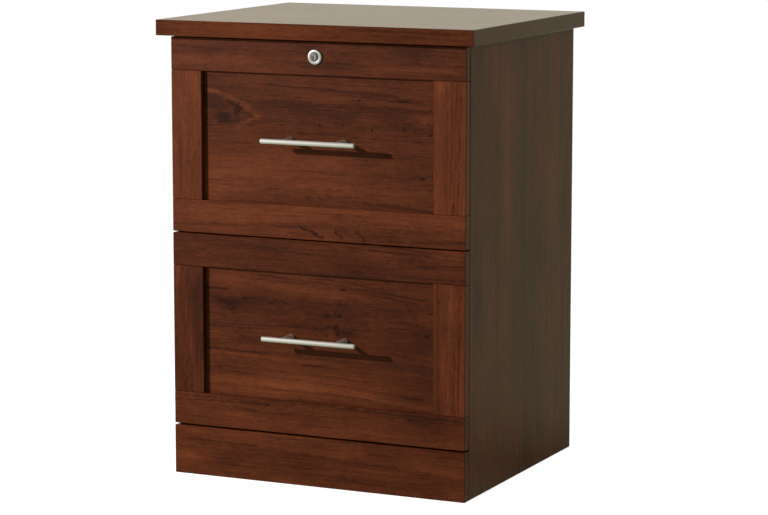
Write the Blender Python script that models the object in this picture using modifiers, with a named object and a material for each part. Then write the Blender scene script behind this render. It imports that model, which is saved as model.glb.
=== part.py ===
"""Two-drawer vertical filing cabinet in cherry laminate board.

The carcass is a top, two sides, a bottom, a back, a kick panel and three rails. Each drawer is a box on a pair
of three-member telescopic slides, behind a framed front of two rails, two stiles and a recessed field panel.
A cam lock in the upper front turns up into a slot in the rail under the top.

Metres, +Z up. The front faces -Y, and the origin is on the floor under the middle of the whole object.
"""

import math

import bmesh
import bpy
from mathutils import Vector

# Overall size
CABINET_HEIGHT = 0.749
BODY_WIDTH = 0.521
BODY_DEPTH = 0.4555

# Carcass boards
PANEL_THICKNESS = 0.015
TOP_THICKNESS = 0.0255
TOP_SIDE_OVERHANG = 0.0188
TOP_FRONT_OVERHANG = 0.0165
TOP_BACK_OVERHANG = 0.002
BACK_THICKNESS = 0.003
BACK_REBATE_WIDTH = 0.007
BACK_FLOOR_CLEARANCE = 0.010
KICK_HEIGHT = 0.0805
CROSS_RAIL_DEPTH = 0.070
EDGE_EASE = 0.0008

# Framed drawer fronts
FRONT_REVEAL = 0.0024
KICK_REVEAL = 0.0034
FRONT_CLEARANCE = 0.0013
RAIL_HEIGHT = 0.0535
STILE_WIDTH = 0.055
FIELD_RECESS = 0.008
FIELD_THICKNESS = 0.005
FRAME_BACK_LIP = 0.003
GROOVE_DEPTH = 0.005
GROOVE_STOP = 0.012

# Drawer boxes
BOX_BOARD_THICKNESS = 0.012
BOX_LIFT = 0.020
BOX_TOP_CLEARANCE = 0.006
BOX_REAR_CLEARANCE = 0.0322
BOX_BOTTOM_THICKNESS = 0.004
BOX_BOTTOM_HEIGHT = 0.010
BOX_GROOVE_DEPTH = 0.005
FILE_BAR_THICKNESS = 0.003
FILE_BAR_HEIGHT = 0.014
FILE_BAR_RISE = 0.003
FILE_BAR_INSET = 0.0252

# Telescopic slides
SLIDE_HEIGHT = 0.045
SLIDE_THICKNESS = 0.0127
SLIDE_GAUGE = 0.0012
SLIDE_BALL_SPACE = 0.0034
SLIDE_PLAY = 0.0004
SLIDE_LIP_SETBACK = 0.0022
SLIDE_SETBACK = 0.003
SLIDE_AXIS_HEIGHT = 0.080

# Bar pulls
PULL_STANDOFF = 0.038
POST_SPACING = 0.096
BAR_DIAMETER = 0.008
BAR_OVERHANG = 0.0345
BAR_END_EASE = 0.0007
POST_SHOULDER = 0.0005
POST_BASE_DIAMETER = 0.009
PULL_SCREW_DIAMETER = 0.004
PULL_SCREW_BITE = 0.008
PULL_SCREW_END_SPACE = 0.0015
PULL_SCREW_HEAD_DIAMETER = 0.009
PULL_SCREW_HEAD_HEIGHT = 0.0026

# Cam lock
BARREL_DIAMETER = 0.019
BARREL_WALL = 0.0035
BARREL_END = 0.0035
FLANGE_LIP = 0.0027
FLANGE_THICKNESS = 0.003
FLANGE_EASE = 0.0012
NUT_WALL = 0.0015
NUT_THICKNESS = 0.0045
PLUG_INSET = 0.0005
KEYWAY_WIDTH = 0.0022
KEYWAY_HEIGHT = 0.0078
KEYWAY_DEPTH = 0.012
CAM_SQUARE = 0.007
CAM_WIDTH = 0.014
CAM_THICKNESS = 0.0025
CAM_BITE = 0.010
CAM_SLOT_CLEARANCE = 0.0015
LOCK_RAIL_CLEARANCE = 0.0012
CAM_SCREW_DIAMETER = 0.0035
CAM_SCREW_BITE = 0.006
CAM_SCREW_HEAD_DIAMETER = 0.009
CAM_SCREW_HEAD_HEIGHT = 0.0025

# Assembly gap between boards that meet, and the roundness of turned pieces
FIT = 0.0003
ROUND_SEGMENTS = 32
SMALL_SEGMENTS = 20
ARC_STEPS = 10
SMOOTH_ANGLE = math.radians(35)
OVERCUT = 0.004

# Depths, measured along Y
front_thickness = FIELD_RECESS + FIELD_THICKNESS + FRAME_BACK_LIP
pull_reach = PULL_STANDOFF - FIELD_RECESS + BAR_DIAMETER / 2
face_y = -(pull_reach + BODY_DEPTH + TOP_BACK_OVERHANG) / 2 + pull_reach
front_back_y = face_y + front_thickness
side_front_y = front_back_y + FRONT_CLEARANCE
body_back_y = face_y + BODY_DEPTH
back_inner_y = body_back_y - BACK_THICKNESS
field_y = face_y + FIELD_RECESS
box_front_y = front_back_y + FIT
box_back_y = back_inner_y - BOX_REAR_CLEARANCE
slide_front_y = side_front_y + SLIDE_SETBACK

# Widths, measured along X from the middle
body_half = BODY_WIDTH / 2
inner_half = body_half - PANEL_THICKNESS
box_half = inner_half - SLIDE_THICKNESS - 2 * FIT
box_inner_half = box_half - BOX_BOARD_THICKNESS

# Heights, measured along Z from the floor
top_under_z = CABINET_HEIGHT - TOP_THICKNESS
lower_front_z = KICK_HEIGHT + KICK_REVEAL
front_height = (top_under_z - lower_front_z - 2 * FRONT_REVEAL) / 2
upper_front_z = lower_front_z + front_height + FRONT_REVEAL
bottom_under_z = KICK_HEIGHT - PANEL_THICKNESS

# The lock sits in the middle of the solid part of the upper front's top rail
barrel_radius = BARREL_DIAMETER / 2
plug_bore_radius = barrel_radius - BARREL_WALL
nut_half = barrel_radius + NUT_WALL
barrel_length = front_thickness + FIT + NUT_THICKNESS + BARREL_END
lock_z = upper_front_z + front_height - (RAIL_HEIGHT - GROOVE_DEPTH) / 2
lock_rail_z = lock_z + nut_half + LOCK_RAIL_CLEARANCE
cam_reach = lock_rail_z - lock_z + CAM_BITE
cam_front_y = face_y + barrel_length + FIT

# The drawer boxes stop below the lock's nut
box_height = lock_z - nut_half - BOX_TOP_CLEARANCE - (upper_front_z + BOX_LIFT)

# Local +Z of a turned or flat piece points out of the front
OUTWARD = (math.pi / 2, 0.0, 0.0)


def start_scene():
    """Empties the scene and makes the collections for the parts and their cutters."""
    for obj in list(bpy.data.objects):
        bpy.data.objects.remove(obj, do_unlink=True)
    made = []
    for name in ("filing_cabinet", "cutters"):
        collection = bpy.data.collections.new(name)
        bpy.context.scene.collection.children.link(collection)
        made.append(collection)
    return made


def finish(name, colour, roughness, metallic=0.0):
    """A Principled material in one plain colour."""
    material = bpy.data.materials.new(name)
    material.use_nodes = True
    shader = material.node_tree.nodes["Principled BSDF"]
    shader.inputs["Base Color"].default_value = (*colour, 1.0)
    shader.inputs["Roughness"].default_value = roughness
    shader.inputs["Metallic"].default_value = metallic
    return material


parts, cutters = start_scene()
LAMINATE = finish("cherry_laminate", (0.105, 0.030, 0.012), 0.42)
BOX_BOARD = finish("drawer_box_board", (0.085, 0.028, 0.013), 0.55)
HARDBOARD = finish("hardboard", (0.13, 0.065, 0.032), 0.75)
SATIN_STEEL = finish("satin_steel", (0.60, 0.59, 0.56), 0.32, 1.0)
ZINC_STEEL = finish("zinc_steel", (0.55, 0.56, 0.57), 0.38, 1.0)
LOCK_METAL = finish("lock_metal", (0.66, 0.65, 0.62), 0.22, 1.0)


def origin(name, parent=None, at=(0.0, 0.0, 0.0)):
    """An empty that carries the pieces of one moving body."""
    empty = bpy.data.objects.new(name, None)
    parts.objects.link(empty)
    place(empty, parent, at)
    return empty


def world_of(obj):
    """Where an unrotated empty stands in the world, through its parents."""
    at = Vector((0.0, 0.0, 0.0))
    while obj is not None:
        at += obj.location
        obj = obj.parent
    return at


def place(obj, parent, at):
    """Parents an object to a body's empty and puts it at a point of the world."""
    obj.parent = parent
    obj.location = Vector(at) - world_of(parent)


def add_piece(name, data, material, parent, at, rotation=(0.0, 0.0, 0.0)):
    """Links one named piece of the cabinet."""
    obj = bpy.data.objects.new(name, data)
    parts.objects.link(obj)
    place(obj, parent, at)
    obj.rotation_euler = rotation
    data.materials.append(material)
    return obj


def box_mesh(name, low, high):
    """A mesh box of the size between two corners, about its own middle."""
    mesh = bpy.data.meshes.new(name)
    bm = bmesh.new()
    bmesh.ops.create_cube(bm, size=1.0)
    bmesh.ops.scale(bm, vec=Vector(high) - Vector(low), verts=bm.verts)
    bm.to_mesh(mesh)
    bm.free()
    return mesh


def cylinder_mesh(name, radius, length, segments):
    """A capped cylinder along its own Z, about its own middle."""
    mesh = bpy.data.meshes.new(name)
    bm = bmesh.new()
    bmesh.ops.create_cone(bm, cap_ends=True, segments=segments, radius1=radius, radius2=radius, depth=length)
    bm.to_mesh(mesh)
    bm.free()
    mesh.shade_smooth()
    mesh.set_sharp_from_angle(angle=SMOOTH_ANGLE)
    return mesh


def middle(low, high):
    return (Vector(low) + Vector(high)) / 2


def ease(obj, width):
    """Chamfers the sharp edges of a piece."""
    bevel = obj.modifiers.new("eased_edges", "BEVEL")
    bevel.width = width
    bevel.segments = 1
    bevel.limit_method = "ANGLE"
    bevel.angle_limit = SMOOTH_ANGLE


def board(name, low, high, material, parent=None, eased=True):
    """A board between two corners of the world."""
    obj = add_piece(name, box_mesh(name, low, high), material, parent, middle(low, high))
    if eased:
        ease(obj, EDGE_EASE)
    return obj


def add_tool(target, mesh, at, operation, rotation=(0.0, 0.0, 0.0)):
    """A hidden solid that is cut from a piece or joined to it."""
    tool = bpy.data.objects.new(f"{target.name}_{operation.lower()}_{len(target.modifiers)}", mesh)
    cutters.objects.link(tool)
    place(tool, target.parent, at)
    tool.rotation_euler = rotation
    tool.hide_render = True
    tool.display_type = "WIRE"
    boolean = target.modifiers.new(tool.name, "BOOLEAN")
    boolean.operation = operation
    boolean.object = tool


def cut_box(target, low, high):
    add_tool(target, box_mesh(target.name + "_cut", low, high), middle(low, high), "DIFFERENCE")


def join_box(target, low, high):
    add_tool(target, box_mesh(target.name + "_joined", low, high), middle(low, high), "UNION")


def cut_round(target, at, radius, length, rotation=OUTWARD, segments=SMALL_SEGMENTS):
    mesh = cylinder_mesh(target.name + "_bore", radius, length, segments)
    add_tool(target, mesh, at, "DIFFERENCE", rotation)


def turned(name, profile, material, parent, at, closed=False, segments=SMALL_SEGMENTS):
    """A turned piece from (radius, height) points that run down its outer side."""
    mesh = bpy.data.meshes.new(name)
    edges = [(i, i + 1) for i in range(len(profile) - 1)]
    if closed:
        edges.append((len(profile) - 1, 0))
    mesh.from_pydata([(radius, 0.0, height) for radius, height in profile], edges, [])
    obj = add_piece(name, mesh, material, parent, at, OUTWARD)
    screw = obj.modifiers.new("turn", "SCREW")
    screw.steps = segments
    screw.render_steps = segments
    screw.use_merge_vertices = True
    screw.merge_threshold = 0.00001
    screw.use_smooth_shade = False
    return obj


def flat_piece(name, outlines, thickness, material, parent, at, rotation=OUTWARD):
    """A flat piece with square edges; the first outline is its rim and the others are holes."""
    curve = bpy.data.curves.new(name, "CURVE")
    curve.dimensions = "2D"
    curve.fill_mode = "BOTH"
    curve.extrude = thickness / 2
    for outline in outlines:
        spline = curve.splines.new("POLY")
        spline.points.add(len(outline) - 1)
        for point, (x, y) in zip(spline.points, outline):
            point.co = (x, y, 0.0, 1.0)
        spline.use_cyclic_u = True
    return add_piece(name, curve, material, parent, at, rotation)


def ring_points(radius, count, start=0.0, sweep=2 * math.pi, ends=False):
    """Points along an arc; a full ring leaves out the repeated end."""
    steps = count - 1 if ends else count
    angles = [start + sweep * i / steps for i in range(count)]
    return [(radius * math.cos(a), radius * math.sin(a)) for a in angles]


# Carcass
def build_carcass(body):
    """The fixed boards: top, sides, bottom, back, kick panel and rails."""
    board(
        "top_panel",
        (-body_half - TOP_SIDE_OVERHANG, face_y - TOP_FRONT_OVERHANG, top_under_z),
        (body_half + TOP_SIDE_OVERHANG, body_back_y + TOP_BACK_OVERHANG, CABINET_HEIGHT),
        LAMINATE,
        body,
    )
    for side, word in ((-1, "left"), (1, "right")):
        build_side_panel(body, side, word)
    board(
        "bottom_panel",
        (-inner_half + FIT, side_front_y, bottom_under_z),
        (inner_half - FIT, back_inner_y - FIT, KICK_HEIGHT),
        LAMINATE,
        body,
    )
    board("kick_panel", (-body_half, face_y, 0.0), (body_half, side_front_y - FIT, KICK_HEIGHT), LAMINATE, body)
    board(
        "rear_base_rail",
        (-inner_half + FIT, back_inner_y - FIT - PANEL_THICKNESS, 0.0),
        (inner_half - FIT, back_inner_y - FIT, bottom_under_z - FIT),
        LAMINATE,
        body,
    )
    divider_z = upper_front_z - FRONT_REVEAL / 2
    board(
        "divider_rail",
        (-inner_half + FIT, side_front_y, divider_z - PANEL_THICKNESS / 2),
        (inner_half - FIT, side_front_y + CROSS_RAIL_DEPTH, divider_z + PANEL_THICKNESS / 2),
        LAMINATE,
        body,
    )
    build_lock_rail(body)
    rebate_half = inner_half + BACK_REBATE_WIDTH
    board(
        "back_panel",
        (-rebate_half + FIT, back_inner_y, BACK_FLOOR_CLEARANCE),
        (rebate_half - FIT, body_back_y, top_under_z - FIT),
        HARDBOARD,
        body,
        eased=False,
    )


def build_side_panel(body, side, word):
    """A side board down to the floor, rebated along its rear inner edge for the back."""
    inner, outer = sorted((side * inner_half, side * body_half))
    panel = board(
        f"side_panel_{word}",
        (inner, side_front_y, 0.0),
        (outer, body_back_y, top_under_z - FIT),
        LAMINATE,
        body,
    )
    inside, outside = sorted((side * (inner_half - OVERCUT), side * (inner_half + BACK_REBATE_WIDTH)))
    cut_box(
        panel,
        (inside, back_inner_y - FIT, BACK_FLOOR_CLEARANCE - FIT),
        (outside, body_back_y + OVERCUT, top_under_z + OVERCUT),
    )


def build_lock_rail(body):
    """The rail under the top, with the slot that the lock's cam turns up into."""
    rail = board(
        "lock_rail",
        (-inner_half + FIT, side_front_y, lock_rail_z),
        (inner_half - FIT, side_front_y + CROSS_RAIL_DEPTH, top_under_z - FIT),
        LAMINATE,
        body,
    )
    slot_half = cam_reach + CAM_SLOT_CLEARANCE
    cut_box(
        rail,
        (-slot_half, cam_front_y - CAM_SLOT_CLEARANCE, lock_rail_z - OVERCUT),
        (slot_half, cam_front_y + CAM_THICKNESS + CAM_SLOT_CLEARANCE, top_under_z + OVERCUT),
    )


# Framed fronts
def build_front(drawer, body, z):
    """Two rails across the full width, two stiles tenoned between them, and the recessed field panel."""
    top = z + front_height
    build_front_rail(f"{drawer}_front_bottom_rail", body, z, z + RAIL_HEIGHT, z + RAIL_HEIGHT - GROOVE_DEPTH)
    rail = build_front_rail(f"{drawer}_front_top_rail", body, top - RAIL_HEIGHT, top, top - RAIL_HEIGHT)
    for side, word in ((-1, "left"), (1, "right")):
        build_stile(f"{drawer}_front_{word}_stile", body, side, z + RAIL_HEIGHT, top - RAIL_HEIGHT)
    field_half = body_half - STILE_WIDTH + GROOVE_DEPTH - FIT
    field = board(
        f"{drawer}_front_field_panel",
        (-field_half, field_y, z + RAIL_HEIGHT - GROOVE_DEPTH + FIT),
        (field_half, field_y + FIELD_THICKNESS, top - RAIL_HEIGHT + GROOVE_DEPTH - FIT),
        LAMINATE,
        body,
        eased=False,
    )
    for x in (-POST_SPACING / 2, POST_SPACING / 2):
        cut_round(field, (x, field_y, z + front_height / 2), PULL_SCREW_DIAMETER / 2 + FIT, 4 * FIELD_THICKNESS)
    return rail


def groove_span():
    """The front and rear faces of the groove that holds the field panel."""
    return field_y - FIT, field_y + FIELD_THICKNESS + FIT


def build_front_rail(name, body, low_z, high_z, groove_z):
    """A rail of a front, with a stopped groove along its inner edge."""
    rail = board(name, (-body_half, face_y, low_z), (body_half, front_back_y, high_z), LAMINATE, body)
    groove_half = body_half - GROOVE_STOP
    groove_front, groove_back = groove_span()
    # The groove is open at the rail's inner edge, which is below it on a top rail and above it on a bottom one.
    opens_down = groove_z == low_z
    cut_low = low_z - OVERCUT if opens_down else groove_z
    cut_high = groove_z + GROOVE_DEPTH if opens_down else high_z + OVERCUT
    cut_box(rail, (-groove_half, groove_front, cut_low), (groove_half, groove_back, cut_high))
    return rail


def build_stile(name, body, side, low_z, high_z):
    """A stile between the rails, grooved for the field panel, with a stub tenon at each end."""
    inner = side * (body_half - STILE_WIDTH)
    outer = side * body_half
    low_x, high_x = sorted((inner, outer))
    stile = board(
        name,
        (low_x, face_y, low_z + FIT),
        (high_x, front_back_y, high_z - FIT),
        LAMINATE,
        body,
    )
    groove_front, groove_back = groove_span()
    near, deep = sorted((inner - side * OVERCUT, inner + side * GROOVE_DEPTH))
    cut_box(stile, (near, groove_front, low_z - OVERCUT), (deep, groove_back, high_z + OVERCUT))
    tenon_inner = inner + side * (GROOVE_DEPTH + FIT)
    tenon_outer = outer - side * (GROOVE_STOP + FIT)
    tenon_low, tenon_high = sorted((tenon_inner, tenon_outer))
    reach = GROOVE_DEPTH - FIT
    for end_z, direction in ((low_z, -1), (high_z, 1)):
        tip, root = sorted((end_z + direction * reach, end_z - direction * OVERCUT))
        join_box(
            stile,
            (tenon_low, field_y, tip),
            (tenon_high, field_y + FIELD_THICKNESS, root),
        )


# Drawer boxes
def build_box(drawer, body, z):
    """Two sides, a front, a back that stands on the bottom, and the bottom in its grooves."""
    low, high = z + BOX_LIFT, z + BOX_LIFT + box_height
    bottom_z = low + BOX_BOTTOM_HEIGHT
    bottom_top = bottom_z + BOX_BOTTOM_THICKNESS
    board_back_y = box_back_y - BOX_BOARD_THICKNESS
    for side, word in ((-1, "left"), (1, "right")):
        low_x, high_x = sorted((side * box_inner_half, side * box_half))
        wall = board(
            f"{drawer}_box_{word}_side",
            (low_x, box_front_y, low),
            (high_x, box_back_y, high),
            BOX_BOARD,
            body,
        )
        near, deep = sorted((side * (box_inner_half - OVERCUT), side * (box_inner_half + BOX_GROOVE_DEPTH)))
        cut_box(
            wall,
            (near, box_front_y - OVERCUT, bottom_z - FIT),
            (deep, box_back_y + OVERCUT, bottom_top + FIT),
        )
    across = box_inner_half - FIT
    front = board(
        f"{drawer}_box_front",
        (-across, box_front_y, low),
        (across, box_front_y + BOX_BOARD_THICKNESS, high),
        BOX_BOARD,
        body,
    )
    groove_y = box_front_y + BOX_BOARD_THICKNESS - BOX_GROOVE_DEPTH
    cut_box(
        front,
        (-body_half, groove_y, bottom_z - FIT),
        (body_half, groove_y + BOX_GROOVE_DEPTH + OVERCUT, bottom_top + FIT),
    )
    for x in (-POST_SPACING / 2, POST_SPACING / 2):
        cut_round(
            front,
            (x, box_front_y, z + front_height / 2),
            PULL_SCREW_DIAMETER / 2 + FIT,
            4 * BOX_BOARD_THICKNESS,
        )
    back = board(
        f"{drawer}_box_back",
        (-across, board_back_y, bottom_top + FIT),
        (across, box_back_y, high),
        BOX_BOARD,
        body,
    )
    bottom_half = box_inner_half + BOX_GROOVE_DEPTH - FIT
    board(
        f"{drawer}_box_bottom",
        (-bottom_half, groove_y + FIT, bottom_z),
        (bottom_half, box_back_y, bottom_top),
        HARDBOARD,
        body,
        eased=False,
    )
    build_file_bars(drawer, body, high, front, back)


def build_file_bars(drawer, body, box_top, front, back):
    """Flat steel bars for hanging folders, on edge in notches of the box's front and back."""
    low = box_top + FILE_BAR_RISE - FILE_BAR_HEIGHT
    for side, word in ((-1, "left"), (1, "right")):
        x = side * (box_inner_half - FILE_BAR_INSET)
        half = FILE_BAR_THICKNESS / 2
        board(
            f"{drawer}_file_bar_{word}",
            (x - half, box_front_y + FIT, low),
            (x + half, box_back_y - FIT, box_top + FILE_BAR_RISE),
            ZINC_STEEL,
            body,
            eased=False,
        )
        for wall, y in ((front, box_front_y), (back, box_back_y - BOX_BOARD_THICKNESS)):
            cut_box(
                wall,
                (x - half - FIT, y - OVERCUT, low - FIT),
                (x + half + FIT, y + BOX_BOARD_THICKNESS + OVERCUT, box_top + OVERCUT),
            )


# Telescopic slides
def channel_outline(side, web_d, lip_d, height):
    """A thin C section in the slide's depth, out from the cabinet's side, and its height."""
    turn = 1 if lip_d > web_d else -1
    half = height / 2
    inside = half - SLIDE_GAUGE
    web_face = web_d + turn * SLIDE_GAUGE
    points = [
        (web_d, -half),
        (lip_d, -half),
        (lip_d, -inside),
        (web_face, -inside),
        (web_face, inside),
        (lip_d, inside),
        (lip_d, half),
        (web_d, half),
    ]
    return [(-side * d, height_z) for d, height_z in points]


def build_slides(drawer, z, carcass, middle_body, body):
    """The cabinet, middle and drawer members on both sides of a drawer, nested with room for balls between."""
    length = box_back_y - slide_front_y
    nest = SLIDE_GAUGE + SLIDE_PLAY
    step = 2 * (SLIDE_GAUGE + SLIDE_BALL_SPACE)
    lip = SLIDE_THICKNESS - SLIDE_LIP_SETBACK
    members = (
        ("cabinet", carcass, 0.0, lip, SLIDE_HEIGHT),
        ("middle", middle_body, nest, lip + SLIDE_PLAY, SLIDE_HEIGHT - step),
        ("drawer", body, SLIDE_THICKNESS, 2 * nest, SLIDE_HEIGHT - 2 * step),
    )
    for side, word in ((-1, "left"), (1, "right")):
        at = (side * (inner_half - FIT), slide_front_y + length / 2, z + BOX_LIFT + SLIDE_AXIS_HEIGHT)
        for kind, owner, web_d, lip_d, height in members:
            flat_piece(
                f"{drawer}_slide_{kind}_member_{word}",
                [channel_outline(side, web_d, lip_d, height)],
                length,
                ZINC_STEEL,
                owner,
                at,
            )


# Bar pulls
def build_pull(drawer, body, z):
    """A round bar on two flared posts, each held by a screw from inside the drawer."""
    bar_y = field_y - PULL_STANDOFF
    pull_z = z + front_height / 2
    bar_length = POST_SPACING + 2 * BAR_OVERHANG
    bar_mesh = cylinder_mesh(f"{drawer}_pull_bar", BAR_DIAMETER / 2, bar_length, ROUND_SEGMENTS)
    along_x = (0.0, math.pi / 2, 0.0)
    bar = add_piece(f"{drawer}_pull_bar", bar_mesh, SATIN_STEEL, body, (0.0, bar_y, pull_z), along_x)
    ease(bar, BAR_END_EASE)
    bore = PULL_SCREW_DIAMETER / 2 + FIT
    tip = BAR_DIAMETER / 2 - POST_SHOULDER
    bore_depth = PULL_SCREW_BITE + PULL_SCREW_END_SPACE
    post_profile = [
        (0.0, PULL_STANDOFF - FIT),
        (tip, PULL_STANDOFF - FIT),
        (POST_BASE_DIAMETER / 2, 0.0),
        (bore, 0.0),
        (bore, bore_depth),
        (0.0, bore_depth),
    ]
    head_y = box_front_y + BOX_BOARD_THICKNESS + FIT
    for side, word in ((-1, "left"), (1, "right")):
        x = side * POST_SPACING / 2
        post = turned(
            f"{drawer}_pull_post_{word}",
            post_profile,
            SATIN_STEEL,
            body,
            (x, field_y - FIT, pull_z),
        )
        saddle = cylinder_mesh(post.name + "_saddle", BAR_DIAMETER / 2 + FIT, bar_length, ROUND_SEGMENTS)
        add_tool(post, saddle, (x, bar_y, pull_z), "DIFFERENCE", along_x)
        reach = head_y - (field_y - FIT) + PULL_SCREW_BITE
        screw(f"{drawer}_pull_screw_{word}", body, (x, head_y, pull_z), PULL_SCREW_DIAMETER, reach,
              PULL_SCREW_HEAD_DIAMETER, PULL_SCREW_HEAD_HEIGHT, ZINC_STEEL)


def screw(name, body, seat, diameter, length, head_diameter, head_height, material):
    """A pan-head screw that enters from behind; its head's seat is at the given point."""
    profile = [
        (0.0, length),
        (diameter / 2, length),
        (diameter / 2, 0.0),
        (head_diameter / 2, 0.0),
        (head_diameter / 2, -head_height / 2),
        (head_diameter / 3, -head_height),
        (0.0, -head_height),
    ]
    turned(name, profile, material, body, seat)


# Cam lock
def build_lock(rail, drawer_body, plug_body):
    """Housing and nut in the upper front's top rail; plug, cam and cam screw that turn."""
    at = (0.0, face_y, lock_z)
    cut_round(rail, at, barrel_radius + FIT, 4 * front_thickness, segments=ROUND_SEGMENTS)
    flange = barrel_radius + FLANGE_LIP
    face = FLANGE_THICKNESS + FIT
    housing_profile = [
        (plug_bore_radius, face),
        (flange - FLANGE_EASE, face),
        (flange, face - FLANGE_EASE),
        (flange, FIT),
        (barrel_radius, FIT),
        (barrel_radius, -barrel_length),
        (plug_bore_radius, -barrel_length),
    ]
    turned("lock_housing", housing_profile, LOCK_METAL, drawer_body, at, closed=True, segments=ROUND_SEGMENTS)
    nut_y = front_back_y + FIT + NUT_THICKNESS / 2
    nut_corner = nut_half / math.cos(math.pi / 6)
    nut_outlines = [ring_points(nut_corner, 6), ring_points(barrel_radius + FIT, ROUND_SEGMENTS)]
    flat_piece("lock_nut", nut_outlines, NUT_THICKNESS, ZINC_STEEL, drawer_body, (0.0, nut_y, lock_z))
    build_plug(plug_body, face)
    build_cam(plug_body)


def build_plug(body, face):
    """The round plug with its keyway, a square drive at the rear and a bore for the cam screw."""
    front_h = face - PLUG_INSET
    drive_end_y = cam_front_y + CAM_THICKNESS
    length = front_h + barrel_length
    plug_mesh = cylinder_mesh("lock_plug", plug_bore_radius - FIT, length, ROUND_SEGMENTS)
    plug_y = face_y - front_h + length / 2
    plug = add_piece("lock_plug", plug_mesh, LOCK_METAL, body, (0.0, plug_y, lock_z), OUTWARD)
    drive = CAM_SQUARE / 2 - FIT
    join_box(
        plug,
        (-drive, face_y + barrel_length - OVERCUT, lock_z - drive),
        (drive, drive_end_y, lock_z + drive),
    )
    front_y = face_y - front_h
    cut_box(
        plug,
        (-KEYWAY_WIDTH / 2, front_y - OVERCUT, lock_z - KEYWAY_HEIGHT / 2),
        (KEYWAY_WIDTH / 2, front_y + KEYWAY_DEPTH, lock_z + KEYWAY_HEIGHT / 2),
    )
    bore_depth = CAM_SCREW_BITE + FIT
    cut_round(plug, (0.0, drive_end_y, lock_z), CAM_SCREW_DIAMETER / 2 + FIT, 2 * bore_depth)


def build_cam(body):
    """The cam lies level at rest, towards the left, and turns up through a quarter turn; a screw holds it."""
    boss = CAM_WIDTH / 2
    tip_centre = cam_reach - boss
    rim = ring_points(boss, ARC_STEPS, -math.pi / 2, math.pi, ends=True)
    tip = ring_points(boss, ARC_STEPS, math.pi / 2, math.pi, ends=True)
    rim += [(x - tip_centre, y) for x, y in tip]
    hole = CAM_SQUARE / 2
    square = [(-hole, -hole), (hole, -hole), (hole, hole), (-hole, hole)]
    cam_y = cam_front_y + CAM_THICKNESS / 2
    flat_piece("lock_cam", [rim, square], CAM_THICKNESS, ZINC_STEEL, body, (0.0, cam_y, lock_z))
    seat = (0.0, cam_front_y + CAM_THICKNESS + FIT, lock_z)
    screw("lock_cam_screw", body, seat, CAM_SCREW_DIAMETER, CAM_SCREW_BITE,
          CAM_SCREW_HEAD_DIAMETER, CAM_SCREW_HEAD_HEIGHT, ZINC_STEEL)


def main():
    carcass = origin("carcass_origin")
    build_carcass(carcass)
    for drawer, z in (("lower", lower_front_z), ("upper", upper_front_z)):
        body = origin(f"{drawer}_drawer_origin", carcass, (0.0, face_y, z))
        middle_body = origin(f"{drawer}_slide_middle_origin", carcass, (0.0, slide_front_y, z))
        top_rail = build_front(drawer, body, z)
        build_box(drawer, body, z)
        build_slides(drawer, z, carcass, middle_body, body)
        build_pull(drawer, body, z)
        if drawer == "upper":
            plug_body = origin("lock_plug_origin", body, (0.0, face_y, lock_z))
            build_lock(top_rail, body, plug_body)


main()
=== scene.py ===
# %% [markdown]
# # A two-drawer filing cabinet in cherry board
#
# The cabinet is a carcass of printed cherry board with two drawers. Each drawer has a framed front, a
# round bar pull and a pair of telescopic slides, and a cam lock sits in the upper front. The packed
# solids already have every board at its real size, so this lesson gives them their finish and adds the
# fine pieces that are too small for the solids. Everything is in metres, +Z is up and the fronts face
# -Y.

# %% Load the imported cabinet
import math
from collections import namedtuple

import bmesh
import bpy
from mathutils import Matrix, Vector


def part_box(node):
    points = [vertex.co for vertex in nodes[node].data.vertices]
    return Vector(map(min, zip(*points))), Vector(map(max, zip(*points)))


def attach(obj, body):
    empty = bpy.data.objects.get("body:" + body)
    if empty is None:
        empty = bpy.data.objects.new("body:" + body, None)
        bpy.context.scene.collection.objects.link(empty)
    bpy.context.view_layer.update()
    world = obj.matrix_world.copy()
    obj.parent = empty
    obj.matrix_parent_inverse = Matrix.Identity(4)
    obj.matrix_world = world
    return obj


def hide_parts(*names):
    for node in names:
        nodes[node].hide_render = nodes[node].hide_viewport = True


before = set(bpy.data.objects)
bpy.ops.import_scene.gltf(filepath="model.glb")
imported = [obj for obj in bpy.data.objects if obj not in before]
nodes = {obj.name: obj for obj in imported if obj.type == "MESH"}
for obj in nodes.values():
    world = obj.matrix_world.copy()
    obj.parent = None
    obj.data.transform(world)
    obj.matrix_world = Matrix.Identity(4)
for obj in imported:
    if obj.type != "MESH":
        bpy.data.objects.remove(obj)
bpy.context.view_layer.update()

# %% [markdown]
# ## The camera
#
# A long lens from about four and a half metres, to the right of the fronts and a little above the top.
# It could be aimed with a constraint, but two angles are easier to read. The lens has no shift, so
# other views stay centred.

# %% Camera at the viewing angle
CAMERA_AT = (2.0063, -4.2574, 1.0717)
CAMERA_YAW = math.radians(24.996)
CAMERA_PITCH = math.radians(8.759)
CAMERA_LENS = 133.97
SENSOR_WIDTH = 36.0

scene = bpy.context.scene


def new_object(name, data):
    """A new object in the scene."""
    made = bpy.data.objects.new(name, data)
    scene.collection.objects.link(made)
    return made


camera = new_object("camera", bpy.data.cameras.new("camera"))
camera.data.lens = CAMERA_LENS
camera.data.sensor_width = SENSOR_WIDTH
camera.data.sensor_fit = "HORIZONTAL"
camera.location = CAMERA_AT
camera.rotation_euler = (math.pi / 2 - CAMERA_PITCH, 0.0, CAMERA_YAW)
scene.camera = camera
scene.view_settings.view_transform = "Standard"
print(f"camera {camera.location[:]}, lens {CAMERA_LENS} mm")

# %% [markdown]
# ## Studio light
#
# One small soft box stands to the left, higher than the top, so each pull throws a firm shadow to the
# right and the left stiles shade their panels. A wide soft panel at the right lifts the cabinet's side.
# A white studio all round fills the shadows. The fill is dimmer than the white that the camera sees,
# because a backdrop at full strength would wash the dark wood out: Light Path tells the two apart. The
# gloss of wood and metal sees the same backdrop, slightly warm from the lamps.

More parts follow.
